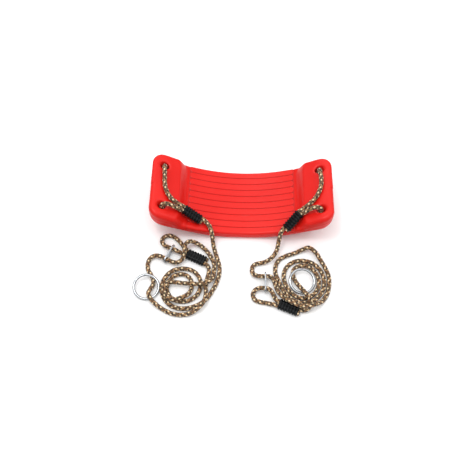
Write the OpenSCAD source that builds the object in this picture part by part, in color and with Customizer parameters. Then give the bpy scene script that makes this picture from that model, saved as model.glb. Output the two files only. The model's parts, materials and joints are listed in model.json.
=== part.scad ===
// Moulded swing seat with two rope sets, laid out at rest: the seat stands on its underside,
// the ropes lie loosely coiled on the floor in front of it.
// X runs along the seat, -Y is the front, +Z is up, and the origin is under the seat's middle.

/* [Seat] */
// Length of the seat, end to end
seat_length = 424; // [416:2:432]
// Depth of the seat, front to back
seat_depth = 176; // [172:2:184]
// Thickness in the middle
seat_thickness = 22; // [20:1:24]
// Radius of the curved sitting surface
top_radius = 334; // [330:1:340]
// Radius of the curved underside
under_radius = 430; // [424:1:436]
// Height of the end pads above the sitting surface
pad_raise = 16; // [14:1:18]
// Wall thickness of the hollow moulding
wall = 3; // [2.5:0.5:3.5]
// Corner radius in plan
corner_radius = 30; // [24:2:34]
// Number of grooves that part the slats
groove_count = 9; // [7:1:11]

/* [Rope holes] */
// Distance from the middle to each pair of holes
hole_x = 183; // [181:1:185]
// Half the distance between the front and the rear hole
hole_y = 55; // [53:1:57]
// Diameter of a rope hole
hole_d = 20; // [18:1:22]

/* [Rope] */
// Rope diameter
rope_d = 10; // [9.5:0.1:10]

/* [Rope clamps] */
// Length of a clamp
clamp_length = 47; // [45:1:48]
// Width over the ribs
clamp_width = 25; // [24.5:0.1:25.5]
// Thickness over the ribs
clamp_thickness = 15; // [14.5:0.1:15]
// Number of ribs
clamp_ribs = 7; // [6:1:8]

/* [Steel parts] */
// Length of the adjuster plate
adjuster_length = 51; // [49:1:52]
// Height of the adjuster plate
adjuster_height = 20; // [19:1:20]
// Thickness of the adjuster plate
adjuster_thickness = 3; // [2.5:0.5:4]
// Distance between the adjuster's two holes
adjuster_pitch = 30; // [30:1:30]
// Wire diameter of the hanging ring
ring_wire = 6; // [5:0.5:6]
// Inner diameter of the hanging ring
ring_inner_d = 50; // [50:1:50]

/* [Hidden] */
$fn = 96;
rope_sides = 8;
// The underside is cut flat where it stands
flat_cut = 1.2;
pad_start = 130;
pad_ramp = 18;
pad_crown_start = 170;
pad_crown = 0.008;
profile_step = 6;
// The side view runs this far past the plan view, which trims it
overrun = 5;
hole_flare = 4;
hole_flare_depth = 9;
hole_wall_d = hole_d + 2 * wall + 2;
vent_d = 4;
groove_width = 3;
groove_depth = 1.2;
groove_half_length = 122;
groove_pitch = 17.5;
clamp_bore_d = rope_d + 0.2;
clamp_bore_pitch = 11;
clamp_core = 1;
clamp_rib_fill = 0.55;
adjuster_hole_d = rope_d + 1.6;
ring_radius = (ring_inner_d + ring_wire) / 2;
ring_low_z = ring_wire / 2;

// Where the clamps lie: centre, pitch with the seat's slope, and heading of the rope
left_seat_clamp_at = [-113.8, -59, 56.6];
left_seat_clamp_turn = [0, 30, -19];
right_seat_clamp_at = [119.6, -72, 60.9];
right_seat_clamp_turn = [0, -36, 218];
left_loop_clamp_at = [-102, -146, 7.5];
left_loop_clamp_turn = [0, 0, 155];
right_loop_clamp_at = [110, -266, 7.5];
right_loop_clamp_turn = [0, 0, 158];

// Adjusters: centre and heading of the rope through them
left_adjuster_at = [-164.9, -139.1, 10];
left_adjuster_turn = 155;
right_adjuster_at = [58, -206, 10];
right_adjuster_turn = 0;

// Rings: flat centre, bearing of the low point from it, and tilt about that point
left_ring_at = [-211.5, -224];
left_ring_low = -73;
left_ring_tilt = 12.5;
right_ring_at = [142, -200];
right_ring_low = -80;
right_ring_tilt = 12;

// Rope under a pad, from one hole to the other, on the left side
seat_loop_route = [
  [-183, -55, 81], [-183, -55, 63], [-183, -55, 46], [-183, -52.6, 37], [-183, -46, 30.4],
  [-183, -37, 28], [-183, -18, 27.5], [-183, 0, 27], [-183, 18, 27.5], [-183, 37, 28],
  [-183, 46, 30.4], [-183, 52.6, 37], [-183, 55, 46], [-183, 55, 63], [-183, 55, 81]];

// Rope from each hole to the clamp on the seat
left_front_leg_route = [
  [-183, -55, 83.5], [-182, -55, 88.5], [-179, -55.4, 93], [-174, -56, 96.2], [-168, -57, 97.2],
  [-162, -58, 95.6], [-156, -58.8, 91.6], [-150, -59, 86], [-144, -58.4, 79.5]];
left_rear_leg_route = [
  [-183, 55, 83.5], [-182.8, 53.6, 89], [-182.4, 50, 94.5], [-182, 44, 98], [-181.4, 36, 99.5],
  [-180.6, 27, 98.5], [-180, 15, 96.5], [-179, 1, 96], [-176, -13, 94.7], [-170, -26, 91.6],
  [-162, -36, 88], [-152, -42.5, 83.5], [-142, -45.5, 76]];
right_front_leg_route = [
  [183, -55, 83.5], [182, -55, 88.5], [179, -55.2, 93], [174, -55.6, 96.2], [168, -56.2, 97.5],
  [161.5, -57.2, 95.5], [155, -58.5, 91], [147, -60.5, 83.5]];
right_rear_leg_route = [
  [183, 55, 83.5], [182.8, 53.6, 89], [182.6, 50, 94.5], [182.6, 44, 98.5], [183, 36, 100.5],
  [184, 27, 100.3], [184.5, 15, 99], [183, 1, 97.8], [178.5, -12, 95.8], [172, -24, 92.2],
  [163, -34, 87.5], [153, -42, 82.5], [142, -48.5, 76]];

// Rope from the clamp on the seat, over the front edge and down to the floor
left_run_route = [
  [-85.5, -65.3, 41.2], [-79.5, -70, 39.6], [-74, -77.5, 38.2], [-70, -86, 37], [-67.5, -95, 34],
  [-65.5, -104, 28.5], [-64, -113, 21], [-61, -124, 12.5], [-55, -141, 6.5], [-48.5, -162, 5],
  [-47.5, -184, 5], [-51.5, -203, 5], [-56, -216, 5], [-61, -226, 5]];
right_run_route = [
  [97, -87, 45], [93, -93.5, 40], [90.5, -101, 33.5], [88.5, -109, 26], [87, -117, 20],
  [84, -128, 15.8], [77, -140.5, 15.5], [67, -149.5, 12], [55, -154, 7.5], [43, -155.5, 5],
  [34.8, -158.6, 5], [29, -165, 5], [28, -172, 5.4]];

// Loose rope on the floor, from the end of the run to the end clamp
left_rope_route = [
  [-61.2, -226.4, 5], [-66, -236, 5], [-75, -249.5, 5], [-89, -262, 5], [-109, -271, 5],
  [-131, -274, 5], [-152, -268, 5], [-167, -254, 5],
  [-175.3, -234, 5], [-175.8, -213, 5], [-167, -192, 5], [-150, -178, 5], [-128, -174, 5], [-107, -180, 5],
  [-93, -196, 5], [-89, -217, 5], [-96, -239, 5], [-114, -254, 5], [-137, -256, 5], [-156, -246, 5],
  [-165, -227, 5], [-161, -206, 5], [-148, -192, 5], [-128, -189, 5], [-113, -200, 5], [-109, -219, 5],
  [-114, -238, 9.5], [-130, -252, 16], [-149, -257, 16], [-165, -248, 16], [-171, -231, 16],
  [-161, -216, 16], [-144, -213, 12], [-126, -215, 12.5], [-109, -217, 16], [-90, -218, 16.5],
  [-73, -212, 17], [-62, -198, 10], [-60, -179, 5], [-60, -160, 5], [-68, -142, 5], [-79, -126, 5],
  [-95, -113, 8.5], [-111, -108, 15], [-121, -111, 20], [-127.5, -119, 21.5], [-129.5, -130, 21.3],
  [-129.5, -142, 19.4], [-133, -153, 14], [-143, -160.5, 10.5], [-155, -160.3, 10], [-171.2, -152.7, 10],
  [-186.5, -145.5, 10], [-199.5, -144.5, 8.5], [-209.5, -152, 6], [-213, -165, 5], [-211, -179, 5],
  [-204, -191, 5], [-198, -203, 5], [-197, -217, 6], [-202, -230, 8.5], [-205, -242, 12],
  [-200, -253, 12], [-189, -264, 8], [-172, -276, 5], [-151, -286, 5], [-128, -289, 5], [-105, -284, 9],
  [-87, -271, 16], [-77.5, -254, 16.5], [-76, -237, 13.5], [-77.5, -221, 6.5], [-76.5, -208, 5.2],
  [-73.5, -194, 5], [-71.5, -184, 5.2], [-71.2, -175.5, 6], [-72.6, -170, 6.7], [-75.8, -165.4, 7.3]];
right_rope_route = [
  [27.9, -172.5, 5.4], [27.6, -177.5, 6], [30.5, -184.5, 8], [37.5, -189.5, 9.5],
  [46, -191, 10], [58, -191, 10], [66, -191, 10], [73.5, -194, 9],
  [78.5, -201.5, 7.5], [82, -213, 6], [87, -228, 9], [95, -242, 16], [107, -253, 20.8],
  [122, -261, 20.8], [137, -267, 21], [150, -268.5, 22.4], [163, -265, 22], [176, -257, 13.5],
  [188.5, -246, 5.5], [199, -228, 5],
  [204, -206, 5], [204, -184, 5], [197, -163, 5], [187, -144, 7], [175, -126, 12], [160, -115, 13],
  [144, -119, 8], [126, -127, 5], [108, -134, 5], [92, -144, 5], [83, -160, 5], [82, -181, 5],
  [89, -200, 5], [97, -219, 5], [108.5, -236.5, 5], [124, -249.5, 5], [144, -253.5, 5], [163, -248.5, 5],
  [179, -236.5, 5], [190, -218, 5], [193, -198, 5], [189, -177, 5], [179, -161, 5], [164, -150, 5],
  [146, -146, 5], [127, -149, 5], [111, -160, 5], [102, -177, 5], [101, -196, 5], [107, -214, 5],
  [117.5, -229.3, 5], [131, -239, 5], [148, -241, 5], [164.5, -233.7, 5], [176.3, -219.7, 5],
  [181, -202, 5], [178, -184, 5], [168, -168, 5], [153, -159, 5], [137, -160, 5], [125, -169, 5],
  [122, -182, 5], [126, -197, 5.5], [134, -211, 8], [142, -223, 11.8], [149, -234, 15.3], [156, -245, 16],
  [159, -253.5, 15.5], [158.5, -260, 12], [155.3, -266.5, 9.5], [148.5, -271.3, 8.2], [142, -272.3, 7.6]];

// End loop through the adjuster's second hole, between the two mouths of its clamp
left_end_loop_route = [
  [-134, -137, 9], [-143, -132.8, 10], [-158.5, -125.6, 10], [-175, -117.9, 10], [-183.4, -108.5, 8],
  [-182.5, -96, 6.5], [-173, -88.2, 5.3], [-161, -89, 5], [-149, -97, 5], [-139, -108, 5.2],
  [-130, -120, 6.3]];
right_end_loop_route = [
  [83.5, -249.5, 8], [78, -240.5, 9.5], [73.5, -231.5, 10], [68.5, -224.5, 10], [61.5, -221.2, 10],
  [54, -221, 10], [45, -221.3, 10], [34.7, -225.7, 8], [30, -237, 6], [34.7, -248.3, 5], [46, -253, 5],
  [60, -255.5, 5], [74, -258.5, 6]];

// ---------- Functions ----------

function unit(v) = v / norm(v);
function mirror_x(route) = [for (p = route) [-p[0], p[1], p[2]]];

// A point given in a clamp's own frame, in the part's frame
function turned(v, turn) =
  let (
    a = turn[2],
    b = turn[1],
    x = v[0] * cos(a) - v[1] * sin(a),
    y = v[0] * sin(a) + v[1] * cos(a))
  [x * cos(b) + v[2] * sin(b), y, -x * sin(b) + v[2] * cos(b)];
function clamp_point(at, turn, along, across) = at + turned([along, across * clamp_bore_pitch / 2, 0], turn);

// Height of the pad's top at a distance x from the middle
function ramp(u) = let (c = min(1, max(0, u))) c * c * (3 - 2 * c);
function arc_top(x) = seat_thickness + top_radius - sqrt(pow(top_radius, 2) - pow(x, 2));
function pad_top(x) =
  arc_top(x) + pad_raise * ramp((x - pad_start) / pad_ramp) - pad_crown * pow(max(0, x - pad_crown_start), 2);

// Direction of a route at each of its points
function direction(route, i) =
  unit(route[min(i + 1, len(route) - 1)] - route[max(i - 1, 0)]);

// ---------- Rope ----------

// A round tube along a route; its ring at each point stands square to the route
module rope_tube(route, side = [0, 0, 1]) {
  count = len(route);
  rings = [
    for (i = [0 : count - 1])
      let (
        ahead = direction(route, i),
        across = unit(cross(side, ahead)),
        over = cross(ahead, across))
      for (k = [0 : rope_sides - 1])
        let (turn = 360 * (k + 0.5) / rope_sides)
        route[i] + rope_d / 2 * (cos(turn) * across + sin(turn) * over)];
  walls = [
    for (i = [0 : count - 2])
      for (k = [0 : rope_sides - 1])
        let (
          next = (k + 1) % rope_sides,
          a = i * rope_sides + k,
          b = i * rope_sides + next)
        for (face = [[a, a + rope_sides, b + rope_sides], [a, b + rope_sides, b]]) face];
  first_cap = [for (k = [0 : rope_sides - 1]) k];
  last_cap = [for (k = [rope_sides - 1 : -1 : 0]) (count - 1) * rope_sides + k];
  polyhedron(points = rings, faces = concat(walls, [first_cap, last_cap]), convexity = 10);
}

module rope_colour() {
  color("peru") children();
}

module left_seat_loop() {
  rope_colour() rope_tube(seat_loop_route, [1, 0, 0]);
}

module right_seat_loop() {
  rope_colour() rope_tube(mirror_x(seat_loop_route), [1, 0, 0]);
}

// A leg runs from its hole through the clamp; the tail stands a little proud of it
tail_proud = 4;

module leg(route, at, turn, across, proud, side) {
  half = clamp_length / 2;
  inside = [for (along = [-half, -half / 3, half / 3, half + proud]) clamp_point(at, turn, along, across)];
  rope_colour() rope_tube(concat(route, inside), side);
}

module left_front_leg() {
  leg(left_front_leg_route, left_seat_clamp_at, left_seat_clamp_turn, -1, tail_proud, [0, 1, 0]);
}

module left_rear_leg() {
  leg(left_rear_leg_route, left_seat_clamp_at, left_seat_clamp_turn, 1, 0, [1, 0, 0]);
}

module right_front_leg() {
  leg(right_front_leg_route, right_seat_clamp_at, right_seat_clamp_turn, 1, tail_proud, [0, 1, 0]);
}

module right_rear_leg() {
  leg(right_rear_leg_route, right_seat_clamp_at, right_seat_clamp_turn, -1, 0, [1, 0, 0]);
}

// The run, and the rope on the floor, end just short of their clamp's mouth, square to it
mouth_gap = 0.1;
mouth_lead = 3;

module run(route, at, turn, across) {
  half = clamp_length / 2;
  mouth = [for (along = [half + mouth_gap, half + mouth_lead]) clamp_point(at, turn, along, across)];
  rope_colour() rope_tube(concat(mouth, route));
}

module left_run() {
  run(left_run_route, left_seat_clamp_at, left_seat_clamp_turn, 1);
}

module right_run() {
  run(right_run_route, right_seat_clamp_at, right_seat_clamp_turn, -1);
}

module floor_rope(route, at, turn, across) {
  half = clamp_length / 2;
  mouth = [for (along = [-half - mouth_lead, -half - mouth_gap]) clamp_point(at, turn, along, across)];
  rope_colour() rope_tube(concat(route, mouth));
}

module left_rope() {
  floor_rope(left_rope_route, left_loop_clamp_at, left_loop_clamp_turn, 1);
}

module right_rope() {
  floor_rope(right_rope_route, right_loop_clamp_at, right_loop_clamp_turn, -1);
}

module end_loop(route, at, turn, across) {
  half = clamp_length / 2;
  going = [for (along = [-half, -half / 3, half / 3, half]) clamp_point(at, turn, along, across)];
  coming = [
    for (along = [half, half / 3, -half / 3, -half - tail_proud])
      clamp_point(at, turn, along, -across)];
  rope_colour() rope_tube(concat(going, route, coming));
}

module left_end_loop() {
  end_loop(left_end_loop_route, left_loop_clamp_at, left_loop_clamp_turn, 1);
}

module right_end_loop() {
  end_loop(right_end_loop_route, right_loop_clamp_at, right_loop_clamp_turn, -1);
}

// ---------- Seat ----------

// One pad in side view: its top rises out of the sitting surface at the ramp's foot
module pad_outline(margin) {
  first = pad_start + pad_ramp / 3;
  last = seat_length / 2 + overrun;
  foot = pad_start - pad_ramp / 6;
  top = [for (x = [first : profile_step : last - 1]) [x, pad_top(x) - margin]];
  polygon(concat(
    [[foot, 0], [foot, pad_top(foot) - margin - 1]],
    top,
    [[last, pad_top(last) - margin], [last, 0]]));
}

// Side view of the seat: between the underside's arc and the sitting surface's arc, with two pads
module side_profile(margin) {
  half = seat_length / 2 + overrun;
  intersection() {
    difference() {
      translate([-half, margin])
        square([2 * half, seat_thickness + top_radius]);
      difference() {
        translate([0, seat_thickness + top_radius])
          circle(r = top_radius + margin, $fn = 360);
        for (end = [0, 1])
          mirror([end, 0])
            pad_outline(margin);
      }
    }
    translate([0, under_radius - flat_cut])
      circle(r = under_radius - margin, $fn = 360);
  }
}

module plan_outline(margin) {
  long = seat_length - 2 * margin;
  deep = seat_depth - 2 * margin;
  r = corner_radius - margin;
  square([long, deep - 2 * r], center = true);
  square([long - 2 * r, deep], center = true);
  for (x = [-1, 1], y = [-1, 1])
    translate([x * (long / 2 - r), y * (deep / 2 - r)])
      circle(r = r);
}

module seat_solid(margin) {
  intersection() {
    rotate([90, 0, 0])
      linear_extrude(height = seat_depth + 2 * overrun, center = true)
        side_profile(margin);
    linear_extrude(height = 2 * top_radius)
      plan_outline(margin);
  }
}

module at_holes() {
  for (x = [-1, 1], y = [-1, 1])
    translate([x * hole_x, y * hole_y, 0])
      children();
}

module seat_grooves() {
  first = -groove_pitch * (groove_count - 1) / 2;
  intersection() {
    translate([0, 0, seat_thickness + top_radius])
      rotate([90, 0, 0])
        for (i = [0 : groove_count - 1])
          translate([0, 0, first + i * groove_pitch])
            cylinder(r = top_radius + groove_depth, h = groove_width, center = true, $fn = 360);
    translate([-groove_half_length, -seat_depth / 2, 0])
      cube([2 * groove_half_length, seat_depth, 2 * seat_thickness + pad_raise]);
  }
}

module seat_shell() {
  color("red")
    difference() {
      seat_solid(0);
      difference() {
        seat_solid(wall);
        at_holes()
          cylinder(d = hole_wall_d, h = top_radius);
      }
      at_holes()
        translate([0, 0, -1])
          cylinder(d = hole_d, h = top_radius);
      at_holes()
        translate([0, 0, pad_top(hole_x) - hole_flare_depth + hole_flare])
          cylinder(d1 = hole_d, d2 = hole_d + 4 * hole_flare, h = 2 * hole_flare_depth);
      seat_grooves();
      translate([0, 0, -1])
        cylinder(d = vent_d, h = 2 * wall + 1);
    }
}

// ---------- Rope clamps ----------

module stadium(width, thickness) {
  square([width - thickness, thickness], center = true);
  for (end = [-1, 1])
    translate([end * (width - thickness) / 2, 0])
      circle(d = thickness);
}

module rope_clamp(at, turn) {
  pitch = clamp_length / clamp_ribs;
  color("black")
    translate(at)
      rotate([0, turn[1], 0])
        rotate([0, 0, turn[2]])
          rotate([90, 0, 90])
            difference() {
              union() {
                linear_extrude(height = clamp_length, center = true)
                  stadium(clamp_width - 2 * clamp_core, clamp_thickness - 2 * clamp_core);
                for (i = [0 : clamp_ribs - 1])
                  translate([0, 0, (i + 0.5) * pitch - clamp_length / 2])
                    linear_extrude(height = pitch * clamp_rib_fill, center = true)
                      stadium(clamp_width, clamp_thickness);
              }
              for (side = [-1, 1])
                translate([side * clamp_bore_pitch / 2, 0, 0])
                  cylinder(d = clamp_bore_d, h = clamp_length + 2, center = true);
            }
}

module left_seat_clamp() {
  rope_clamp(left_seat_clamp_at, left_seat_clamp_turn);
}

module right_seat_clamp() {
  rope_clamp(right_seat_clamp_at, right_seat_clamp_turn);
}

module left_loop_clamp() {
  rope_clamp(left_loop_clamp_at, left_loop_clamp_turn);
}

module right_loop_clamp() {
  rope_clamp(right_loop_clamp_at, right_loop_clamp_turn);
}

// ---------- Steel parts ----------

// A flat plate that stands on its long edge, with its two holes level
module adjuster(at, turn) {
  color("silver")
    translate(at)
      rotate([90, 0, turn + 90])
        linear_extrude(height = adjuster_thickness, center = true)
          difference() {
            stadium(adjuster_length, adjuster_height);
            for (side = [-1, 1])
              translate([side * adjuster_pitch / 2, 0])
                circle(d = adjuster_hole_d);
          }
}

module left_adjuster() {
  adjuster(left_adjuster_at, left_adjuster_turn);
}

module right_adjuster() {
  adjuster(right_adjuster_at, right_adjuster_turn);
}

// A wire ring that touches the floor at its low point and is tilted up about it
module hanging_ring(at, low, tilt) {
  color("lightgray")
    translate([at[0] + ring_radius * cos(low), at[1] + ring_radius * sin(low), ring_low_z])
      rotate([0, 0, low])
        rotate([0, tilt, 0])
          translate([-ring_radius, 0, 0])
            rotate_extrude($fn = 96)
              translate([ring_radius, 0])
                circle(d = ring_wire, $fn = 32);
}

module left_ring() {
  hanging_ring(left_ring_at, left_ring_low, left_ring_tilt);
}

module right_ring() {
  hanging_ring(right_ring_at, right_ring_low, right_ring_tilt);
}

seat_shell();
left_seat_loop();
right_seat_loop();
left_front_leg();
right_front_leg();
left_rear_leg();
right_rear_leg();
left_seat_clamp();
right_seat_clamp();
left_run();
right_run();
left_rope();
right_rope();
left_end_loop();
right_end_loop();
left_loop_clamp();
right_loop_clamp();
left_adjuster();
right_adjuster();
left_ring();
right_ring();
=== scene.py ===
"""Moulded swing seat with two rope sets, lying as unpacked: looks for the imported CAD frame.

Working lengths are millimetres, as in the CAD model, and become metres when a mesh is made.
"""

import json
import math

import bpy
import numpy as np
from mathutils import Matrix, Vector


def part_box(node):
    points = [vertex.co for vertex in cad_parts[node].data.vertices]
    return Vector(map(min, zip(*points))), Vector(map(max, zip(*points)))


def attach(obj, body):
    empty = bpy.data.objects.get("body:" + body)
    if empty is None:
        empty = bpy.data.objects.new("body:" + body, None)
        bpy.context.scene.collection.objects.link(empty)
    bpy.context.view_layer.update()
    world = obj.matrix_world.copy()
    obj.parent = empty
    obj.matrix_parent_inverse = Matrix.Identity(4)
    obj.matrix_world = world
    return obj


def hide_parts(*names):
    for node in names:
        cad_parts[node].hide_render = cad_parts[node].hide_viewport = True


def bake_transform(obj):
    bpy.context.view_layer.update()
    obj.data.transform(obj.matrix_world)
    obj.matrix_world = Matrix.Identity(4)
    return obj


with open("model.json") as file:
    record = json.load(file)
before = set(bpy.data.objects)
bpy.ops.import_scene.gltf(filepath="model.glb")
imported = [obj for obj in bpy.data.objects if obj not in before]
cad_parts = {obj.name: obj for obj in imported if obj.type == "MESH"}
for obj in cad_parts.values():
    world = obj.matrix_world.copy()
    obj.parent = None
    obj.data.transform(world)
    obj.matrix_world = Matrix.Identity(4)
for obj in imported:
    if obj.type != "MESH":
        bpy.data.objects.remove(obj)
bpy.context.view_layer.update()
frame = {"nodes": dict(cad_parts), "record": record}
MM = 0.001
SIDES = ("left", "right")


# ---------- Camera ----------

CAMERA_ELEVATION = 60.0
CAMERA_AZIMUTH = -1.0
CAMERA_ROLL = 2.31
CAMERA_DISTANCE = 1600.0
CAMERA_TARGET = (-13.0, -78.4, 0.0)
CAMERA_LENS = 51.44
CAMERA_SENSOR = 36.0


def make_camera():
    """Looks at the target from above and in front, turned a little about its own axis."""
    elevation, azimuth, roll = map(math.radians, (CAMERA_ELEVATION, CAMERA_AZIMUTH, CAMERA_ROLL))
    back = Vector((
        math.sin(azimuth) * math.cos(elevation),
        -math.cos(azimuth) * math.cos(elevation),
        math.sin(elevation),
    ))
    level = Vector((math.cos(azimuth), math.sin(azimuth), 0.0))
    steep = back.cross(level)
    right = math.cos(roll) * level + math.sin(roll) * steep
    up = math.cos(roll) * steep - math.sin(roll) * level
    place = (Vector(CAMERA_TARGET) + CAMERA_DISTANCE * back) * MM
    camera = bpy.data.objects.new("camera", bpy.data.cameras.new("camera"))
    camera.data.lens = CAMERA_LENS
    camera.data.sensor_width = CAMERA_SENSOR
    camera.matrix_world = Matrix.Translation(place) @ Matrix((right, up, back)).transposed().to_4x4()
    bpy.context.collection.objects.link(camera)
    bpy.context.scene.camera = camera


make_camera()


# ---------- Node helper ----------

class Nodes:
    """Builds a material's node tree; every method returns an output socket."""

    def __init__(self, name):
        self.material = bpy.data.materials.new(name)
        self.material.use_nodes = True
        self.tree = self.material.node_tree
        self.shader = self.tree.nodes["Principled BSDF"]

    def add(self, kind, inputs=(), **settings):
        node = self.tree.nodes.new(kind)
        for key, value in settings.items():
            setattr(node, key, value)
        for key, value in dict(inputs).items():
            self.put(node.inputs[key], value)
        return node

    def put(self, socket, value):
        if isinstance(value, bpy.types.NodeSocket):
            self.tree.links.new(value, socket)
        else:
            socket.default_value = value

    def set(self, **inputs):
        for key, value in inputs.items():
            self.put(self.shader.inputs[key.replace("_", " ").title().replace("Ior", "IOR")], value)

    def math(self, operation, *values):
        node = self.add("ShaderNodeMath", operation=operation)
        for i, value in enumerate(values):
            self.put(node.inputs[i], value)
        return node.outputs[0]

    def between(self, value, low, high, to_low=0.0, to_high=1.0):
        """value from low..high becomes to_low..to_high, clamped."""
        node = self.add("ShaderNodeMapRange")
        for i, number in enumerate((value, low, high, to_low, to_high)):
            self.put(node.inputs[i], number)
        return node.outputs[0]

    def ramp(self, value, *stops, constant=False):
        """stops are (position, (r, g, b))."""
        node = self.add("ShaderNodeValToRGB", {"Fac": value})
        node.color_ramp.interpolation = "CONSTANT" if constant else "LINEAR"
        elements = node.color_ramp.elements
        while len(elements) < len(stops):
            elements.new(1.0)
        for element, (position, colour) in zip(elements, stops):
            element.position = position
            element.color = (*colour, 1.0)
        return node.outputs["Color"]

    def mix(self, factor, a, b, blend="MIX"):
        node = self.add("ShaderNodeMix", data_type="RGBA", blend_type=blend)
        self.put(node.inputs["Factor"], factor)
        for socket, value in ((node.inputs[6], a), (node.inputs[7], b)):
            self.put(socket, (*value, 1.0) if isinstance(value, tuple) else value)
        return node.outputs[2]

    def place(self):
        return self.add("ShaderNodeTexCoord").outputs["Object"]

    def noise(self, scale, detail=3.0, rough=0.5, at=None):
        inputs = {"Vector": at or self.place(), "Scale": scale, "Detail": detail, "Roughness": rough}
        return self.add("ShaderNodeTexNoise", inputs).outputs[0]

    def bump(self, height, distance, strength=1.0, under=None):
        inputs = {"Height": height, "Distance": distance, "Strength": strength}
        node = self.add("ShaderNodeBump", inputs)
        if under is not None:
            self.put(node.inputs["Normal"], under)
        return node.outputs[0]


# ---------- Rope material ----------

ROPE_D = 10.0
BRAID_TURN = 34.0
STRANDS = 5
CREAM = (0.80, 0.60, 0.37)
TAN = (0.33, 0.19, 0.085)
BROWN = (0.15, 0.075, 0.032)
DARK = (0.020, 0.013, 0.009)
OLIVE = (0.085, 0.072, 0.038)
WARP_COLOURS = (CREAM, BROWN, TAN, CREAM, BROWN)
WEFT_COLOURS = (DARK, BROWN, OLIVE, DARK, TAN)


def rope_material():
    """Two sets of strands wound opposite ways, over one and under one.

    The UV map holds turns round the rope and turns along it.
    """
    n = Nodes("braided_rope")
    uv = n.add("ShaderNodeSeparateXYZ", {"Vector": n.add("ShaderNodeUVMap", uv_map="braid").outputs[0]})
    around, along = uv.outputs[0], uv.outputs[1]
    warp = n.math("MULTIPLY", n.math("ADD", around, along), float(STRANDS))
    weft = n.math("MULTIPLY", n.math("SUBTRACT", around, along), float(STRANDS))
    warp_cell, weft_cell = n.math("FLOOR", warp), n.math("FLOOR", weft)
    warp_part, weft_part = n.math("FRACT", warp), n.math("FRACT", weft)
    over = n.math("FLOORED_MODULO", n.math("ADD", warp_cell, weft_cell), 2.0)

    def strand_colour(cell, colours):
        middle = n.math("ADD", cell, 0.5)
        turn = n.math("DIVIDE", n.math("FLOORED_MODULO", middle, float(STRANDS)), float(STRANDS))
        stops = [(i / STRANDS, colour) for i, colour in enumerate(colours)]
        return n.ramp(turn, *stops, constant=True)

    colour = n.mix(over, strand_colour(warp_cell, WARP_COLOURS), strand_colour(weft_cell, WEFT_COLOURS))
    across = n.add("ShaderNodeMix", {0: over, 2: warp_part, 3: weft_part}).outputs[0]
    down = n.add("ShaderNodeMix", {0: over, 2: weft_part, 3: warp_part}).outputs[0]
    edge = n.math("ABSOLUTE", n.math("SUBTRACT", n.math("MULTIPLY", across, 2.0), 1.0))
    end = n.math("ABSOLUTE", n.math("SUBTRACT", n.math("MULTIPLY", down, 2.0), 1.0))
    gap = n.math("MAXIMUM", n.between(edge, 0.55, 1.0), n.between(end, 0.7, 1.0, 0.0, 0.8))
    fibre_at = n.add("ShaderNodeCombineXYZ", {
        "X": n.math("MULTIPLY", across, 9.0),
        "Y": n.math("MULTIPLY", down, 1.3),
        "Z": n.math("ADD", warp_cell, n.math("MULTIPLY", weft_cell, 7.3)),
    }).outputs[0]
    fibre = n.noise(1.6, 4.0, 0.65, fibre_at)
    faded = n.noise(34.0, 2.0)
    colour = n.mix(n.between(fibre, 0.35, 0.7, 0.0, 0.30), colour, (0.80, 0.70, 0.60), "OVERLAY")
    colour = n.mix(n.between(faded, 0.35, 0.75, 0.0, 0.35), colour, (0.58, 0.50, 0.42), "SOFT_LIGHT")
    # Painted shade in the gaps between strands, where one strand dips under the next
    colour = n.mix(n.math("MULTIPLY", gap, 0.78), colour, (0.02, 0.011, 0.006))
    strand_bump = n.bump(n.math("SUBTRACT", 1.0, gap), 0.0005, 0.6)
    n.set(
        base_color=colour,
        roughness=n.between(fibre, 0.2, 0.8, 0.5, 0.75),
        normal=n.bump(fibre, 0.00022, 0.9, strand_bump),
        specular_ior_level=0.35,
        sheen_weight=0.15,
        sheen_roughness=0.5,
    )
    return n.material


ROPE = rope_material()


# ---------- Rope routes: the CAD model's, point for point ----------

CLAMP_LENGTH = 47.0
CLAMP_BORE_PITCH = 11.0
TAIL_PROUD = 4.0
MOUTH_LEAD = 3
CLAMPS = {
    "left_seat": ((-113.8, -59, 56.6), (30, -19)),
    "right_seat": ((119.6, -72, 60.9), (-36, 218)),
    "left_loop": ((-102, -146, 7.5), (0, 155)),
    "right_loop": ((110, -266, 7.5), (0, 158)),
}
# Which bore the standing rope takes: +1 is on the left of the clamp's heading
BORE = {"left_seat": 1, "right_seat": -1, "left_loop": 1, "right_loop": -1}

SEAT_LOOP = [
    (-183, -55, 81), (-183, -55, 63), (-183, -55, 46), (-183, -52.6, 37), (-183, -46, 30.4),
    (-183, -37, 28), (-183, -18, 27.5), (-183, 0, 27), (-183, 18, 27.5), (-183, 37, 28),
    (-183, 46, 30.4), (-183, 52.6, 37), (-183, 55, 46), (-183, 55, 63), (-183, 55, 81)]
FRONT_LEG = {
    "left": [
        (-183, -55, 83.5), (-182, -55, 88.5), (-179, -55.4, 93), (-174, -56, 96.2), (-168, -57, 97.2),
        (-162, -58, 95.6), (-156, -58.8, 91.6), (-150, -59, 86), (-144, -58.4, 79.5)],
    "right": [
        (183, -55, 83.5), (182, -55, 88.5), (179, -55.2, 93), (174, -55.6, 96.2), (168, -56.2, 97.5),
        (161.5, -57.2, 95.5), (155, -58.5, 91), (147, -60.5, 83.5)],
}
REAR_LEG = {
    "left": [
        (-183, 55, 83.5), (-182.8, 53.6, 89), (-182.4, 50, 94.5), (-182, 44, 98), (-181.4, 36, 99.5),
        (-180.6, 27, 98.5), (-180, 15, 96.5), (-179, 1, 96), (-176, -13, 94.7), (-170, -26, 91.6),
        (-162, -36, 88), (-152, -42.5, 83.5), (-142, -45.5, 76)],
    "right": [
        (183, 55, 83.5), (182.8, 53.6, 89), (182.6, 50, 94.5), (182.6, 44, 98.5), (183, 36, 100.5),
        (184, 27, 100.3), (184.5, 15, 99), (183, 1, 97.8), (178.5, -12, 95.8), (172, -24, 92.2),
        (163, -34, 87.5), (153, -42, 82.5), (142, -48.5, 76)],
}
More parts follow.
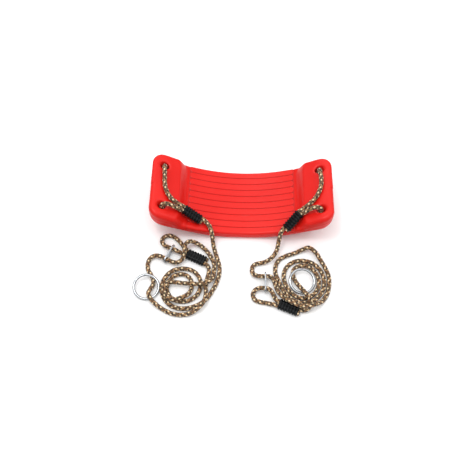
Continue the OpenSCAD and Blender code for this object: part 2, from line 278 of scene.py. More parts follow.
RUN = {
    "left": [
        (-85.5, -65.3, 41.2), (-79.5, -70, 39.6), (-74, -77.5, 38.2), (-70, -86, 37), (-67.5, -95, 34),
        (-65.5, -104, 28.5), (-64, -113, 21), (-61, -124, 12.5), (-55, -141, 6.5), (-48.5, -162, 5),
        (-47.5, -184, 5), (-51.5, -203, 5), (-56, -216, 5), (-61, -226, 5)],
    "right": [
        (97, -87, 45), (93, -93.5, 40), (90.5, -101, 33.5), (88.5, -109, 26), (87, -117, 20),
        (84, -128, 15.8), (77, -140.5, 15.5), (67, -149.5, 12), (55, -154, 7.5), (43, -155.5, 5),
        (34.8, -158.6, 5), (29, -165, 5), (28, -172, 5.4)],
}
FLOOR_ROPE = {
    "left": [
        (-66, -236, 5), (-75, -249.5, 5), (-89, -262, 5), (-109, -271, 5),
        (-131, -274, 5), (-152, -268, 5), (-167, -254, 5),
        (-175.3, -234, 5), (-175.8, -213, 5), (-167, -192, 5), (-150, -178, 5),
        (-128, -174, 5), (-107, -180, 5), (-93, -196, 5), (-89, -217, 5),
        (-96, -239, 5), (-114, -254, 5), (-137, -256, 5), (-156, -246, 5),
        (-165, -227, 5), (-161, -206, 5), (-148, -192, 5), (-128, -189, 5),
        (-113, -200, 5), (-109, -219, 5),
        (-114, -238, 9.5), (-130, -252, 16), (-149, -257, 16), (-165, -248, 16), (-171, -231, 16),
        (-161, -216, 16), (-144, -213, 12), (-126, -215, 12.5), (-109, -217, 16), (-90, -218, 16.5),
        (-73, -212, 17), (-62, -198, 10), (-60, -179, 5), (-60, -160, 5), (-68, -142, 5),
        (-79, -126, 5),
        (-95, -113, 8.5), (-111, -108, 15), (-121, -111, 20), (-127.5, -119, 21.5),
        (-129.5, -130, 21.3), (-129.5, -142, 19.4), (-133, -153, 14), (-143, -160.5, 10.5),
        (-155, -160.3, 10), (-171.2, -152.7, 10), (-186.5, -145.5, 10), (-199.5, -144.5, 8.5),
        (-209.5, -152, 6), (-213, -165, 5), (-211, -179, 5),
        (-204, -191, 5), (-198, -203, 5), (-197, -217, 6), (-202, -230, 8.5), (-205, -242, 12),
        (-200, -253, 12), (-189, -264, 8), (-172, -276, 5), (-151, -286, 5), (-128, -289, 5),
        (-105, -284, 9),
        (-87, -271, 16), (-77.5, -254, 16.5), (-76, -237, 13.5), (-77.5, -221, 6.5), (-76.5, -208, 5.2),
        (-73.5, -194, 5), (-71.5, -184, 5.2), (-71.2, -175.5, 6), (-72.6, -170, 6.7),
        (-75.8, -165.4, 7.3)],
    "right": [
        (27.6, -177.5, 6), (30.5, -184.5, 8), (37.5, -189.5, 9.5),
        (46, -191, 10), (58, -191, 10), (66, -191, 10), (73.5, -194, 9),
        (78.5, -201.5, 7.5), (82, -213, 6), (87, -228, 9), (95, -242, 16), (107, -253, 20.8),
        (122, -261, 20.8), (137, -267, 21), (150, -268.5, 22.4), (163, -265, 22), (176, -257, 13.5),
        (188.5, -246, 5.5), (199, -228, 5),
        (204, -206, 5), (204, -184, 5), (197, -163, 5), (187, -144, 7), (175, -126, 12), (160, -115, 13),
        (144, -119, 8), (126, -127, 5), (108, -134, 5), (92, -144, 5), (83, -160, 5), (82, -181, 5),
        (89, -200, 5), (97, -219, 5), (108.5, -236.5, 5), (124, -249.5, 5), (144, -253.5, 5),
        (163, -248.5, 5),
        (179, -236.5, 5), (190, -218, 5), (193, -198, 5), (189, -177, 5), (179, -161, 5), (164, -150, 5),
        (146, -146, 5), (127, -149, 5), (111, -160, 5), (102, -177, 5), (101, -196, 5), (107, -214, 5),
        (117.5, -229.3, 5), (131, -239, 5), (148, -241, 5), (164.5, -233.7, 5), (176.3, -219.7, 5),
        (181, -202, 5), (178, -184, 5), (168, -168, 5), (153, -159, 5), (137, -160, 5), (125, -169, 5),
        (122, -182, 5), (126, -197, 5.5), (134, -211, 8), (142, -223, 11.8), (149, -234, 15.3),
        (156, -245, 16), (159, -253.5, 15.5), (158.5, -260, 12), (155.3, -266.5, 9.5),
        (148.5, -271.3, 8.2), (142, -272.3, 7.6)],
}
END_LOOP = {
    "left": [
        (-134, -137, 9), (-143, -132.8, 10), (-158.5, -125.6, 10), (-175, -117.9, 10),
        (-183.4, -108.5, 8), (-182.5, -96, 6.5), (-173, -88.2, 5.3), (-161, -89, 5),
        (-149, -97, 5), (-139, -108, 5.2), (-130, -120, 6.3)],
    "right": [
        (83.5, -249.5, 8), (78, -240.5, 9.5), (73.5, -231.5, 10), (68.5, -224.5, 10), (61.5, -221.2, 10),
        (54, -221, 10), (45, -221.3, 10), (34.7, -225.7, 8), (30, -237, 6),
        (34.7, -248.3, 5), (46, -253, 5), (60, -255.5, 5), (74, -258.5, 6)],
}


def clamp_matrix(clamp):
    """Puts a clamp that lies along X at the origin where the CAD clamp lies."""
    at, (pitch, heading) = CLAMPS[clamp]
    turn = Matrix.Rotation(math.radians(pitch), 4, "Y") @ Matrix.Rotation(math.radians(heading), 4, "Z")
    return Matrix.Translation(Vector(at)) @ turn


def in_clamp(clamp, bore, *alongs):
    """Points on a bore's axis; bore is +1 for the standing rope's and -1 for the tail's."""
    matrix = clamp_matrix(clamp)
    across = bore * BORE[clamp] * CLAMP_BORE_PITCH / 2
    return [tuple(matrix @ Vector((along, across, 0.0))) for along in alongs]


def rope_parts(side):
    """One rope from tail to tail, as (part, points) in order."""
    half = CLAMP_LENGTH / 2
    third = half / 3
    clear = half + MOUTH_LEAD
    seat, loop = side + "_seat", side + "_loop"
    under_pad = [(math.copysign(x, -1 if side == "left" else 1), y, z) for x, y, z in SEAT_LOOP]
    tail = in_clamp(seat, -1, half + TAIL_PROUD, third, -third, -half)
    return [
        ("front_leg", tail + FRONT_LEG[side][::-1]),
        ("seat_loop", under_pad),
        ("rear_leg", REAR_LEG[side] + in_clamp(seat, 1, -half, -third, third, half)),
        ("run", in_clamp(seat, 1, clear) + RUN[side]),
        ("rope", FLOOR_ROPE[side] + in_clamp(loop, 1, -clear, -half)),
        ("end_loop", in_clamp(loop, 1, -third, third, half) + END_LOOP[side]
            + in_clamp(loop, -1, half, third, -third, -half - TAIL_PROUD)),
    ]


# ---------- Rope meshes ----------

CURVE_STEPS = 24
ROPE_STEP = 1.25
ROPE_SIDES = 30
BRAID_RELIEF = 0.7
# The strand height that lies on the rope's nominal surface
BRAID_LEVEL = 0.72
START_DIRECTION = (0.3, 0.9, 0.2)


def smooth_curve(points, step):
    """A centripetal Catmull-Rom curve through the points, resampled evenly.

    Returns the line, the distance along it of each of its points, and that of each point given.
    """
    p = np.array(points, float)
    p = np.vstack([2 * p[0] - p[1], p, 2 * p[-1] - p[-2]])
    dense, knots = [], [0]
    for a, b, c, d in zip(p, p[1:], p[2:], p[3:]):
        t1 = np.linalg.norm(b - a) ** 0.5
        t2 = t1 + np.linalg.norm(c - b) ** 0.5
        t3 = t2 + np.linalg.norm(d - c) ** 0.5
        t = np.linspace(t1, t2, CURVE_STEPS, endpoint=False)[:, None]
        ab = a + (b - a) * t / t1
        bc = b + (c - b) * (t - t1) / (t2 - t1)
        cd = c + (d - c) * (t - t2) / (t3 - t2)
        abc = ab + (bc - ab) * t / t2
        bcd = bc + (cd - bc) * (t - t1) / (t3 - t1)
        dense.append(abc + (bcd - abc) * (t - t1) / (t2 - t1))
        knots.append(knots[-1] + len(t))
    dense = np.vstack(dense + [p[-2:-1]])
    run = np.concatenate([[0.0], np.cumsum(np.linalg.norm(np.diff(dense, axis=0), axis=1))])
    even = np.linspace(0.0, run[-1], int(round(run[-1] / step)) + 1)
    line = np.column_stack([np.interp(even, run, dense[:, k]) for k in range(3)])
    return line, even, run[knots]


def carried_frames(line):
    """Two directions square to the line at each point, carried along without twist."""
    ahead = np.gradient(line, axis=0)
    ahead /= np.linalg.norm(ahead, axis=1)[:, None]
    across = np.cross(ahead[0], START_DIRECTION)
    rows = []
    for direction in ahead:
        across = across - direction * np.dot(across, direction)
        across /= np.linalg.norm(across)
        rows.append(across)
    across = np.array(rows)
    return across, np.cross(ahead, across)


def braid_height(around, along):
    """0 in the gaps between strands to 1 on top of one."""
    warp, weft = STRANDS * (around + along), STRANDS * (around - along)
    over = (np.floor(warp) + np.floor(weft)) % 2
    across = np.where(over == 0, warp % 1, weft % 1)
    down = np.where(over == 0, weft % 1, warp % 1)
    return np.sqrt(np.clip(1 - (2 * across - 1) ** 2, 0, 1)) * (0.45 + 0.55 * np.sin(np.pi * down))


def new_mesh(name, vertices, faces, materials, smooth=True):
    """An object with this mesh; the vertices come in millimetres."""
    mesh = bpy.data.meshes.new(name)
    mesh.from_pydata([tuple(v) for v in np.asarray(vertices, float) * MM], [], faces)
    mesh.update()
    mesh.polygons.foreach_set("use_smooth", [smooth] * len(mesh.polygons))
    for material in materials:
        mesh.materials.append(material)
    piece = bpy.data.objects.new(name, mesh)
    bpy.context.collection.objects.link(piece)
    return piece


def rope_mesh(name, line, even, across, over):
    """A braided tube round a stretch of the rope, with both ends closed."""
    count, sides = len(line), ROPE_SIDES
    around = np.arange(sides) / sides
    along = even / BRAID_TURN
    height = braid_height(around[None, :], along[:, None])
    radius = ROPE_D / 2 + BRAID_RELIEF * (height - BRAID_LEVEL)
    turn = 2 * np.pi * around
    spoke = across[:, None] * np.cos(turn)[None, :, None] + over[:, None] * np.sin(turn)[None, :, None]
    vertices = (line[:, None] + radius[:, :, None] * spoke).reshape(-1, 3)
    first = np.arange(count - 1)[:, None] * sides
    here, after = np.arange(sides)[None, :], (np.arange(sides)[None, :] + 1) % sides
    quads = np.stack([first + here, first + after, first + sides + after, first + sides + here], axis=-1)
    ends = [tuple(range(sides))[::-1], tuple(range((count - 1) * sides, count * sides))]
    piece = new_mesh(name, vertices, quads.reshape(-1, 4).tolist() + ends, [ROPE])
    next_around = around + 1 / sides
    corner_u = np.stack([around, next_around, next_around, around], axis=-1)
    corner_u = np.broadcast_to(corner_u, quads.shape)
    low, high = along[:-1, None], along[1:, None]
    corner_v = np.stack([low, low, high, high], axis=-1)
    corner_v = np.broadcast_to(corner_v, quads.shape)
    sheet = np.stack([corner_u, corner_v], axis=-1).reshape(-1, 2)
    caps = np.array([(around[k % sides], along[0]) for k in range(sides)][::-1]
                    + [(around[k % sides], along[-1]) for k in range(sides)])
    layer = piece.data.uv_layers.new(name="braid")
    layer.data.foreach_set("uv", np.vstack([sheet, caps]).ravel())
    return piece


def make_rope(side):
    """One rope, cut into the pieces that move apart.
    """
    parts = rope_parts(side)
    points = [point for _, part in parts for point in part]
    line, even, at = smooth_curve(points, ROPE_STEP)
    across, over = carried_frames(line)
    last = np.cumsum([len(part) for _, part in parts]) - 1
    cuts = [0] + [int(round(at[i] / even[1])) for i in last]
    pieces = {}
    for (part, _), first, end in zip(parts, cuts, cuts[1:]):
        stretch = slice(first, end + 1)
        name = f"{side}_{part}"
        piece = rope_mesh(name + "_braid", line[stretch], even[stretch], across[stretch], over[stretch])
        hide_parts(name)
        # The front leg's far end is the tail, where the rope's own line begins
        pieces[part] = piece
        if part in ("seat_loop", "rope", "end_loop"):
            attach(piece, "seat")
    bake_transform(pieces["front_leg"])
    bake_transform(pieces["rear_leg"])
    end = Vector(RUN[side][-1]) * MM
    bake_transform(pieces["run"])


for side in SIDES:
    make_rope(side)


# ---------- Seat material ----------

DEEP_RED = (0.65, 0.0075, 0.0045)
CLEAR_RED = (0.72, 0.0125, 0.0075)
# Painted highlight colour for the seat's convex edges
EDGE_HIGHLIGHT_RED = (0.76, 0.085, 0.075)
# Painted shade colour for the slat grooves
GROOVE_SHADE_RED = (0.33, 0.004, 0.003)


def seat_material():
    """Clear red, with a painted highlight in patches on its convex edges and painted shade where the
    mesh's sunk value says it is a groove.
    """
    n = Nodes("red_moulded_plastic")
    cloud = n.noise(9.0, 2.0)
    grain = n.noise(1500.0, 3.0, 0.7)
    speck = n.noise(240.0, 2.0)
    blotch = n.noise(70.0, 5.0, 0.75)
    convex = n.between(n.add("ShaderNodeNewGeometry").outputs["Pointiness"], 0.51, 0.60)
    sunk = n.add("ShaderNodeAttribute", attribute_name="sunk").outputs["Fac"]
    colour = n.ramp(n.between(cloud, 0.3, 0.7), (0.0, DEEP_RED), (1.0, CLEAR_RED))
    # Painted highlight: convex edges turn pale pink in noisy patches
    pale_convex = n.math("MULTIPLY", convex, n.between(blotch, 0.45, 0.75, 0.0, 0.35))
    colour = n.mix(pale_convex, colour, EDGE_HIGHLIGHT_RED)
    # Painted shade: the slat grooves turn deep red in noisy patches
    groove_shade = n.math("MULTIPLY", sunk, n.between(blotch, 0.2, 0.6, 0.55, 0.8))
    colour = n.mix(groove_shade, colour, GROOVE_SHADE_RED)
    grained = n.bump(grain, 0.00008, 0.5)
    uneven = n.math("ADD", n.math("MULTIPLY", blotch, 0.6), n.math("MULTIPLY", grain, 0.4))
    n.set(
        base_color=colour,
        roughness=n.between(uneven, 0.3, 0.7, 0.30, 0.42),
        normal=n.bump(speck, 0.0002, 0.18, grained),
        specular_ior_level=0.25,
    )
    return n.material


# ---------- Seat mesh ----------

SEAT_LOW, SEAT_HIGH = (Vector(corner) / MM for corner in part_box("seat_shell"))
SEAT_LENGTH = SEAT_HIGH.x - SEAT_LOW.x
SEAT_DEPTH = SEAT_HIGH.y - SEAT_LOW.y
SEAT_THICKNESS = 22.0
TOP_RADIUS = 334.0
UNDER_RADIUS = 430.0
FLAT_CUT = 1.2
PAD_START = 130.0
PAD_RAMP = 18.0
PAD_RAISE = 16.0
PAD_BEND = 15.0
CORNER_RADIUS = 27.0
HOLE_X, HOLE_Y, HOLE_D = 183.0, 55.0, 20.0
PAD_BEND_START = 62
PAD_BEND_REACH = 27
PAD_CROWN = 0.008
PAD_CROWN_START = 170
# Edge radius of the sitting surface, what it gains towards the pads, and what the pads' front half adds
TOP_EDGE = 5.5
TOP_EDGE_GAIN = 2.5
FRONT_EDGE_GAIN = 3.5
UNDER_EDGE = 9.0
UNDER_EDGE_GAIN = 9.0
# (reach, depth) of the funnels round the rope holes
TOP_FUNNEL = (6.5, 4.0)
UNDER_FUNNEL = (5.0, 3.0)
# Widths over which the grid gathers at the rim, and rows on either side of a groove
END_RIM = 12
SIDE_RIM = 8
GROOVE_ROWS = (0, 0.5, 1.0, 1.6, 2.4, 5)
GROOVE_ROWS_END = 80
GROOVES_EACH_SIDE = 4
SLAT_PITCH = 17.5
SLAT_END = 121.0
SLAT_NOSE = 4.5
SLAT_NOSE_HALF = 7.6
SLAT_HEIGHT = 1.5
GROOVE_HALF = 1.6
WALL_SHARES = ((0.15, 0.0), (0.44, 0.0), (0.48, 0.35), (0.52, 0.35), (0.56, 0.0), (0.85, 0.0))
HOLE_SIDES = 40
VENT_D = 4.0


def ease(u):
    u = np.clip(u, 0, 1)
    return u * u * (3 - 2 * u)


def edge_distance(x, y):
    """How far inside the seat's plan outline a point lies."""
    dx = np.abs(x) - (SEAT_LENGTH / 2 - CORNER_RADIUS)
    dy = np.abs(y) - (SEAT_DEPTH / 2 - CORNER_RADIUS)
    corner = CORNER_RADIUS - np.hypot(np.maximum(dx, 0), np.maximum(dy, 0))
    return np.maximum(np.where((dx > 0) & (dy > 0), corner, CORNER_RADIUS - np.maximum(dx, dy)), 0)


def rolled(distance, radius):
    """How far a rounded edge drops below the flat, at a distance from the outline."""
    left = 1 - np.clip(distance / radius, 0, 1)
    return radius * (1 - np.sqrt(1 - left ** 2))


def hole_dip(x, y, reach, depth):
    """The soft funnel round each rope hole."""
    away = np.hypot(np.abs(x) - HOLE_X, np.abs(y) - HOLE_Y) - HOLE_D / 2
    left = 1 - np.clip(away / reach, 0, 1)
    return depth * (1 - np.sqrt(1 - np.minimum(left, 0.999) ** 2))


def slat_relief(x, y):
    """How far the surface lies below the slats' tops, 0 to 1.

    It is 1 in the grooves and just past the slats' rounded ends.
    """
    slatted = (GROOVES_EACH_SIDE + 0.5) * SLAT_PITCH
    off = np.where(np.abs(y) > slatted, 0, y % SLAT_PITCH - SLAT_PITCH / 2)
    end = SLAT_END + SLAT_NOSE * np.sqrt(np.clip(1 - (off / SLAT_NOSE_HALF) ** 2, 0, 1))
    on_slat = ease((end - np.abs(x)) / 1.5) * ease((SLAT_PITCH / 2 - np.abs(off)) / GROOVE_HALF)
    return (1 - on_slat) * (1 - ease((np.abs(x) - SLAT_END - 5) / 7))


def top_height(x, y):
    """The sitting surface: an arc, and pads whose inner edge bends outwards at front and back."""
    far = np.abs(x)
    arc = SEAT_THICKNESS + TOP_RADIUS - np.sqrt(TOP_RADIUS ** 2 - x ** 2)
    into = np.clip((np.abs(y) - PAD_BEND_START) / PAD_BEND_REACH, 0, 1)
    bend = PAD_BEND * (1 - np.sqrt(1 - into ** 2))
    pad = PAD_RAISE * ease((far - PAD_START - bend) / (PAD_RAMP - 0.35 * bend))
    crown = PAD_CROWN * np.maximum(0, far - PAD_CROWN_START) ** 2
    radius = TOP_EDGE + TOP_EDGE_GAIN * ease((far - 105) / 40)
    radius = radius + FRONT_EDGE_GAIN * ease((far - 120) / 30) * (y < 0)
    edge = rolled(edge_distance(x, y), radius)
    return arc + pad - crown - SLAT_HEIGHT * slat_relief(x, y) - edge - hole_dip(x, y, *TOP_FUNNEL)


def under_height(x, y):
    """The underside: an arc cut off by a small flat that the seat stands on."""
    arc = np.maximum(UNDER_RADIUS - FLAT_CUT - np.sqrt(UNDER_RADIUS ** 2 - x ** 2), 0)
    radius = UNDER_EDGE + UNDER_EDGE_GAIN * ease((np.abs(x) - 60) / 110)
    return arc + rolled(edge_distance(x, y), radius) + hole_dip(x, y, *UNDER_FUNNEL)


def seat_columns():
    """X of each grid column, closer together where the surface bends."""
    half = SEAT_LENGTH / 2
    rim = [half - END_RIM * (1 - math.cos(math.radians(a))) for a in range(0, 91, 9)]
    right = []
    for start, end, step in ((0, 116, 4), (116, 132, 0.8), (132, 150, 1.5), (150, half - END_RIM, 2)):
        right += list(np.arange(start, end, step))
    right += rim[::-1]
    return np.array([-x for x in right[:0:-1]] + right)


def seat_rows():
    """Y of each grid row in the straight part, with rows gathered at the grooves and the edges."""
    steps = 2 * GROOVES_EACH_SIDE + 1
    middles = [k * SLAT_PITCH / 2 for k in range(-steps, steps + 1)]
    near = {round(middle + sign * g, 3) for middle in middles for g in GROOVE_ROWS for sign in (1, -1)}
    inner = sorted(y for y in near if abs(y) < GROOVE_ROWS_END)
    rim = [SEAT_DEPTH / 2 - SIDE_RIM * (1 - math.cos(math.radians(a))) for a in range(0, 91, 11)]
    return np.array([-y for y in rim] + inner + rim[::-1])


def half_depth(x):
    """Half the seat's depth at x, less in the rounded corners."""
    into = np.clip(np.abs(x) - (SEAT_LENGTH / 2 - CORNER_RADIUS), 0, CORNER_RADIUS)
    return SEAT_DEPTH / 2 - CORNER_RADIUS + np.sqrt(CORNER_RADIUS ** 2 - into ** 2)


def seat_mesh(material):
    """Top and underside as height fields over one grid, joined by a wall with a faint parting line."""
    columns, rows = seat_columns(), seat_rows()
    nx, ny = len(columns), len(rows)
    x = np.repeat(columns[:, None], ny, axis=1)
    y = rows[None, :] * (half_depth(columns) / (SEAT_DEPTH / 2))[:, None]
    top, under = top_height(x, y), under_height(x, y)
    index = np.arange(nx * ny).reshape(nx, ny)
    a, b, c, d = index[:-1, :-1], index[1:, :-1], index[1:, 1:], index[:-1, 1:]
    upper = np.stack([a, b, c, d], axis=-1).reshape(-1, 4)
    lower = np.stack([d, c, b, a], axis=-1).reshape(-1, 4) + nx * ny
    rim = np.concatenate([index[:, 0], index[-1, 1:], index[-2::-1, -1], index[0, -2:0:-1]])
    flat = [np.column_stack([x.ravel(), y.ravel(), z.ravel()]) for z in (top, under)]
    vertices = list(flat)
    inwards = -flat[0][rim][:, :2] / np.linalg.norm(flat[0][rim][:, :2], axis=1)[:, None]
    rings = [rim]
    for share, out in WALL_SHARES:
        ring = flat[0][rim] * (1 - share) + flat[1][rim] * share
        ring[:, :2] -= inwards * out
        rings.append(np.arange(len(rim)) + sum(len(v) for v in vertices))
        vertices.append(ring)
    rings.append(rim + nx * ny)
    wall = []
    for above, below in zip(rings, rings[1:]):
        wall.append(np.column_stack([np.roll(above, -1), above, below, np.roll(below, -1)]))
    faces = np.vstack([upper, lower] + wall).tolist()
    seat = new_mesh("seat_moulding", np.vstack(vertices), faces, [material])
    # The sunk value marks the slat grooves, where the seat material paints shade
    sunk = np.zeros(len(seat.data.vertices))
    sunk[:nx * ny] = slat_relief(x, y).ravel() * (1 - ease((np.abs(x.ravel()) - SLAT_END - 2) / 6))
    seat.data.attributes.new("sunk", "FLOAT", "POINT").data.foreach_set("value", sunk)
    return seat


def rope_hole_cutter():
    """Four rods to cut the rope holes with, and a thin one for the vent."""
    vertices, faces, sides = [], [], HOLE_SIDES
    holes = [(x, y, HOLE_D / 2, -5.0, 130.0) for x in (-HOLE_X, HOLE_X) for y in (-HOLE_Y, HOLE_Y)]
    for x, y, radius, low, high in holes + [(0.0, 0.0, VENT_D / 2, -5.0, 5.0)]:
        start = len(vertices)
        for z in (low, high):
            for k in range(sides):
                turn = 2 * math.pi * k / sides
                vertices.append((x + radius * math.cos(turn), y + radius * math.sin(turn), z))
        loop = [start + k for k in range(sides)]
        faces += [loop[::-1], [k + sides for k in loop]]
        faces += [(loop[k], loop[(k + 1) % sides], loop[(k + 1) % sides] + sides, loop[k] + sides)
                  for k in range(sides)]
    return new_mesh("cutter", vertices, faces, [], smooth=False)


def applied(piece):
    """Bakes the piece's modifiers into its mesh."""
    bpy.context.view_layer.update()
    shape = piece.evaluated_get(bpy.context.evaluated_depsgraph_get())
    mesh = bpy.data.meshes.new_from_object(shape)
    piece.modifiers.clear()
    piece.data = mesh
    return piece


def make_seat():
    seat = seat_mesh(seat_material())
    cutter = rope_hole_cutter()
    cut = seat.modifiers.new("holes", "BOOLEAN")
    cut.operation = "DIFFERENCE"
    cut.solver = "EXACT"
    cut.object = cutter
    applied(seat)
    bpy.data.objects.remove(cutter)
    seat.data.polygons.foreach_set("use_smooth", [True] * len(seat.data.polygons))
    seat.data.set_sharp_from_angle(angle=math.radians(50))
    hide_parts("seat_shell")
    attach(seat, "seat")


make_seat()


# ---------- Rope clamps ----------

CLAMP_WIDTH = 25.0
CLAMP_THICKNESS = 15.0
CLAMP_RIBS = 7
CLAMP_SIDES = 64
CLAMP_WAIST = 1.0
# How much wider and thicker the clamp is over its ribs than between them
RIB_WIDTH = 3.4
RIB_THICKNESS = 3.2
# One rib, as (share of the pitch, height), and an end, as (distance in, height)
RIB_PROFILE = ((0.16, 0.0), (0.22, 0.8), (0.28, 1.0), (0.72, 1.0), (0.78, 0.8), (0.84, 0.0))
END_PROFILE = ((0.0, -0.9), (0.3, -0.35))
END_TAPER = 1.6


def clamp_material():
    """Glossy black, greyer on scuffed ribs."""
    n = Nodes("black_clamp_plastic")
    grain = n.noise(900.0, 4.0, 0.7)
    scuff = n.noise(120.0, 5.0, 0.8)
    convex = n.between(n.add("ShaderNodeNewGeometry").outputs["Pointiness"], 0.51, 0.58)
    pale_convex = n.math("MULTIPLY", convex, n.between(scuff, 0.4, 0.7, 0.15, 0.8))
    n.set(
        base_color=n.mix(pale_convex, (0.0025, 0.003, 0.0035), (0.028, 0.034, 0.036)),
        roughness=n.between(scuff, 0.3, 0.7, 0.18, 0.34),
        normal=n.bump(grain, 0.00010, 0.5),
        specular_ior_level=0.12,
    )
    return n.material


CLAMP = clamp_material()


def clamp_section(width, thickness, waist, sides):
    """A flat oval with a shallow waist between the two strands."""
    turn = 2 * np.pi * np.arange(sides) / sides
    y, z = np.cos(turn), np.sin(turn)
    y, z = np.sign(y) * np.abs(y) ** 0.75, np.sign(z) * np.abs(z) ** 0.6
    dip = waist * np.exp(-(y * width / 2 / 3.2) ** 2)
    return y * width / 2, z * (thickness / 2 - dip)


def make_clamp(clamp, body):
    """Ribs round a waisted block with drawn-in ends."""
    sides, pitch = CLAMP_SIDES, CLAMP_LENGTH / CLAMP_RIBS
    ribs = []
    for rib in range(CLAMP_RIBS):
        start = rib * pitch - CLAMP_LENGTH / 2
        ribs += [(start + share * pitch, grow) for share, grow in RIB_PROFILE]
    mouth = -CLAMP_LENGTH / 2
    near_end = [(mouth + inwards, grow) for inwards, grow in END_PROFILE]
    far_end = [(-along, grow) for along, grow in near_end[::-1]]
    rings = []
    for along, grow in near_end + ribs + far_end:
        taper = END_TAPER * min(grow, 0)
        width = CLAMP_WIDTH - RIB_WIDTH + RIB_WIDTH * max(grow, 0) + taper
        thickness = CLAMP_THICKNESS - RIB_THICKNESS + RIB_THICKNESS * max(grow, 0) + taper
        y, z = clamp_section(width, thickness, CLAMP_WAIST, sides)
        rings.append(np.column_stack([np.full(sides, along), y, z]))
    vertices = np.vstack(rings)
    faces = []
    for i in range(len(rings) - 1):
        here, after = i * sides, (i + 1) * sides
        for k in range(sides):
            beside = (k + 1) % sides
            faces.append((here + k, here + beside, after + beside, after + k))
    faces += [tuple(range(sides))[::-1], tuple(range((len(rings) - 1) * sides, len(rings) * sides))]
    matrix = clamp_matrix(clamp)
    vertices = [tuple(matrix @ Vector(v)) for v in vertices]
    piece = new_mesh(clamp + "_clamp_moulding", vertices, faces, [CLAMP])
    piece.data.set_sharp_from_angle(angle=math.radians(55))
    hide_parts(clamp + "_clamp")
    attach(piece, body)


for side in SIDES:
    make_clamp(side + "_seat", side + "_bridle")
    make_clamp(side + "_loop", "seat")


# ---------- Steel parts ----------

def steel_material(name, light, dark, low, high, scale):
    """Zinc plating: a faint spangle, fine scratches, and duller grey in patches."""
    n = Nodes(name)
    spangle = n.add("ShaderNodeTexVoronoi", {"Vector": n.place(), "Scale": scale}).outputs["Color"]
    spangle = n.add("ShaderNodeSeparateXYZ", {"Vector": spangle}).outputs[0]
    cloud = n.noise(60.0, 4.0, 0.6)
    scratch_at = n.add("ShaderNodeMapping", {"Vector": n.place(), "Scale": (1.0, 0.06, 1.0)}).outputs[0]
    scratch = n.noise(2600.0, 3.0, 0.6, scratch_at)
    patch = n.math("ADD", n.math("MULTIPLY", spangle, 0.4), n.math("MULTIPLY", cloud, 0.6))
    uneven = n.math("ADD", n.math("MULTIPLY", patch, 0.7), n.math("MULTIPLY", scratch, 0.3))
    n.set(
        base_color=n.ramp(n.between(patch, 0.25, 0.75), (0.0, dark), (1.0, light)),
        metallic=1.0,
        roughness=n.between(uneven, 0.3, 0.7, low, high),
        normal=n.bump(scratch, 0.00004, 0.35),
    )
    return n.material


PLATE_STEEL = steel_material("zinc_plate", (0.50, 0.51, 0.52), (0.30, 0.32, 0.35), 0.20, 0.34, 500.0)
RING_STEEL = steel_material("bright_zinc_wire", (0.50, 0.51, 0.52), (0.33, 0.35, 0.37), 0.08, 0.20, 700.0)
RING_RADIUS = 28.0
RING_WIRE = 6.0
RING_STEPS = 160
WIRE_SIDES = 24
WELD_SPREAD = 5.0
WELD_HEIGHT = 0.55
PLATE_BEVEL = 0.5


def ring_lies(side):
    """The matrix that puts a flat ring where the CAD ring lies, from its joint and its mount."""
    joint = next(j for j in frame["record"]["behaviour"]["joints"] if j["name"] == side + "_ring_swing")
    mount = next(m for m in frame["record"]["mounts"] if m["name"] == side + "_hanging_ring")
    centre, low = Vector(mount["pos_m"]) / MM, Vector(joint["pos_m"]) / MM
    away = (low - centre).normalized()
    normal = Vector(mount["axis"]).normalized()
    turn = Matrix((away, normal.cross(away), normal)).transposed().to_4x4()
    return Matrix.Translation(centre) @ turn


def make_ring(side):
    """A wire ring with the upset bead of its butt weld on the side away from the rope."""
    around, sides = RING_STEPS, WIRE_SIDES
    matrix = ring_lies(side)
    vertices = []
    for i in range(around):
        turn = 2 * math.pi * i / around
        from_weld = RING_RADIUS * abs(math.remainder(turn - math.pi, 2 * math.pi))
        wire = RING_WIRE / 2 + WELD_HEIGHT * math.exp(-((from_weld / (WELD_SPREAD / 2)) ** 2))
        for k in range(sides):
            spin = 2 * math.pi * k / sides
            reach = RING_RADIUS + wire * math.cos(spin)
            point = Vector((reach * math.cos(turn), reach * math.sin(turn), wire * math.sin(spin)))
            vertices.append(tuple(matrix @ point))
    faces = []
    for i in range(around):
        here, after = i * sides, (i + 1) % around * sides
        for k in range(sides):
            beside = (k + 1) % sides
            faces.append((here + k, after + k, after + beside, here + beside))
    piece = new_mesh(side + "_ring_wire", vertices, faces, [RING_STEEL])
    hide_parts(side + "_ring")
    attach(piece, side + "_ring")


def dress_adjuster(side):
    """The CAD plate keeps its shape and gets broken edges and zinc plating."""
    plate = frame["nodes"][side + "_adjuster"]
    for slot in plate.material_slots:
        slot.link = "OBJECT"
        slot.material = PLATE_STEEL
    bevel = plate.modifiers.new("broken_edges", "BEVEL")
    bevel.width = PLATE_BEVEL * MM
    bevel.segments = 2
    bevel.limit_method = "ANGLE"
    bevel.angle_limit = math.radians(60)


for side in SIDES:
    make_ring(side)
    dress_adjuster(side)


# ---------- Floor and light ----------

FLOOR_REACH = 4000.0
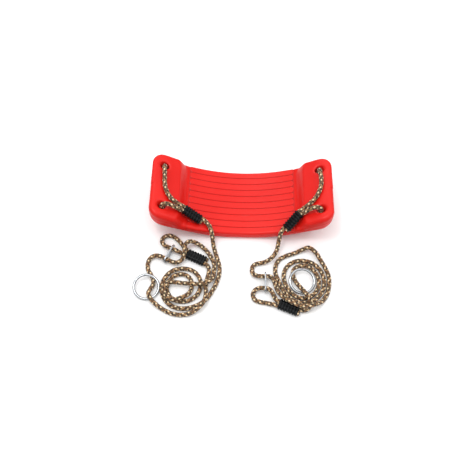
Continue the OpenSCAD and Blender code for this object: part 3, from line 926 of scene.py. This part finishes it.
# (height in the sky, grey)
SKY = ((0.0, 0.08), (0.35, 0.22), (0.9, 1.0))
SKY_STRENGTH = 1.6
# (name, place in metres, size in metres, watts)
LIGHTS = (
    ("key", (-0.55, -0.15, 2.1), 0.7, 11.0),
    ("fill", (1.4, 0.2, 1.5), 1.2, 5.0),
    ("back", (-0.3, 1.6, 1.2), 1.0, 5.0),
)


def make_floor():
    """A plain pale floor under the part."""
    reach = FLOOR_REACH
    corners = [(-reach, -reach, 0), (reach, -reach, 0), (reach, reach, 0), (-reach, reach, 0)]
    n = Nodes("pale_floor")
    mottle = n.noise(3.0, 2.0)
    n.set(base_color=n.ramp(mottle, (0.0, (0.93, 0.93, 0.93)), (1.0, (0.95, 0.95, 0.95))), roughness=0.75)
    new_mesh("floor", corners, [(0, 1, 2, 3)], [n.material], smooth=False)


def make_light(name, place, size, power):
    """A round lamp aimed at the middle of the floor."""
    lamp = bpy.data.lights.new(name, "AREA")
    lamp.shape = "DISK"
    lamp.size = size
    lamp.energy = power
    light = bpy.data.objects.new(name, lamp)
    light.location = place
    light.rotation_euler = (-Vector(place)).to_track_quat("-Z", "Y").to_euler()
    bpy.context.collection.objects.link(light)


def make_studio():
    """A sky that brightens upwards, and the lamps."""
    world = bpy.data.worlds.new("studio")
    world.use_nodes = True
    tree = world.node_tree
    height = tree.nodes.new("ShaderNodeSeparateXYZ")
    tree.links.new(tree.nodes.new("ShaderNodeTexCoord").outputs["Generated"], height.inputs[0])
    sky = tree.nodes.new("ShaderNodeValToRGB")
    sky.color_ramp.elements.new(SKY[1][0])
    for element, (place, grey) in zip(sky.color_ramp.elements, SKY):
        element.position = place
        element.color = (grey, grey, grey, 1.0)
    tree.links.new(height.outputs[2], sky.inputs[0])
    tree.links.new(sky.outputs[0], tree.nodes["Background"].inputs["Color"])
    tree.nodes["Background"].inputs["Strength"].default_value = SKY_STRENGTH
    bpy.context.scene.world = world
    bpy.context.scene.view_settings.view_transform = "Standard"
    for light in LIGHTS:
        make_light(*light)


make_floor()
make_studio()
